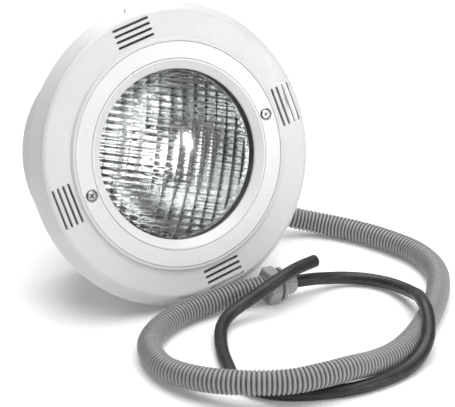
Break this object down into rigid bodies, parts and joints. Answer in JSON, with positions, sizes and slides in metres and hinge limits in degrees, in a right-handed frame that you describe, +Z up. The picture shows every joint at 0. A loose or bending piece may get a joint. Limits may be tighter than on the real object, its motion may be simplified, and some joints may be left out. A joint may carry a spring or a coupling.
{
  "type": "underwater pool light",
  "caption": "Underwater pool light: slotted face rim and sealed-beam lamp in a wall niche, with a conduit hose, glands and a rubber supply cable.",
  "frame": {"origin": "on the floor, below the centre of the light's box, hose and cable left out", "axes": "+Z up; the face looks towards -Y and leans back; +X is to the right seen from the face"},
  "size_m": [0.3872, 0.4205, 0.2722],
  "materials": {
    "white_face": "satin moulded ABS, fine moulded grain",
    "white_ring": "smooth glossy moulded ABS",
    "niche_white": "moulded ABS with a matt outside",
    "steel_screw": "bright stainless steel",
    "black_seal": "matt moulded rubber",
    "lens_glass": "clear pressed glass with prisms",
    "mirror": "aluminised glass",
    "bulb_glass": "frosted quartz capsule",
    "filament": "tungsten and nickel wire",
    "ceramic": "unglazed ceramic",
    "brass": "machined brass",
    "wire": "heat-resistant sleeve",
    "shell_grey": "moulded glass-filled plastic",
    "gland_grey": "moulded polyamide",
    "hose_grey": "corrugated flexible PVC",
    "cable_black": "matt rubber sheath",
    "core_insulation": "insulated copper cores"
  },
  "bodies": {
    "niche": {"niche_pot": "niche_white", "niche_flange": "niche_white", "niche_inserts": "brass", "outlet_plug": "gland_grey", "outlet_socket": "gland_grey", "outlet_seal": "black_seal", "inner_lead": "cable_black"},
    "hose_run": {"conduit_hose": "hose_grey", "end_gland_body": "gland_grey", "end_gland_ring": "gland_grey", "end_gland_grommet": "black_seal", "supply_cable": "cable_black", "cable_cores": "core_insulation"},
    "light_unit": {"face_rim": "white_face", "clamp_ring": "white_ring", "lens_bezel": "white_ring", "lens_gasket": "black_seal", "lamp_lens": "lens_glass", "lamp_reflector": "mirror", "lamp_burner": "bulb_glass", "lamp_filament": "filament", "lamp_base": "ceramic", "lamp_terminals": "brass", "lamp_leads": "wire", "rear_shell": "shell_grey", "shell_seal": "black_seal", "shell_screws": "steel_screw", "shell_gland_body": "gland_grey", "shell_gland_seal": "black_seal"},
    "face_screw_right": {"face_screw_right": "steel_screw"},
    "face_screw_left": {"face_screw_left": "steel_screw"},
    "outlet_nut": {"outlet_nut": "gland_grey"},
    "end_gland_cap": {"end_gland_cap": "gland_grey"},
    "shell_gland_nut": {"shell_gland_nut": "gland_grey"}
  },
  "joints": [
    {"name": "light_pull", "type": "slide", "parent": "niche", "child": "light_unit", "axis": [0, -0.9495, 0.3138], "range_m": [0, 0.11], "deforming": ["inner_lead"]},
    {"name": "right_screw_turn", "type": "hinge", "parent": "light_unit", "child": "face_screw_right", "pos_m": [0.09403, -0.04583, 0.15953], "axis": [0, -0.9495, 0.3138], "continuous": true},
    {"name": "left_screw_turn", "type": "hinge", "parent": "light_unit", "child": "face_screw_left", "pos_m": [-0.09403, -0.05945, 0.1183], "axis": [0, -0.9495, 0.3138], "continuous": true},
    {"name": "outlet_nut_turn", "type": "hinge", "parent": "niche", "child": "outlet_nut", "pos_m": [0.10346, 0.02012, 0.04678], "axis": [0.848, -0.1663, -0.5032], "continuous": true},
    {"name": "hose_swing", "type": "hinge", "parent": "niche", "child": "hose_run", "pos_m": [0.147, 0.01, 0.0235], "axis": [0, 0, 1], "range_deg": [0, 35], "deforming": ["conduit_hose"]},
    {"name": "end_cap_turn", "type": "hinge", "parent": "hose_run", "child": "end_gland_cap", "pos_m": [0.08337, -0.12121, 0.016], "axis": [0.9945, -0.1045, 0], "continuous": true},
    {"name": "shell_nut_turn", "type": "hinge", "parent": "light_unit", "child": "shell_gland_nut", "pos_m": [-0.0199, 0.04464, 0.19105], "axis": [0.8829, 0.1473, 0.4458], "continuous": true}
  ],
  "couplings": [
    {"joint": "hose_swing", "follows": "light_pull", "rad_per_m": 5}
  ]
}
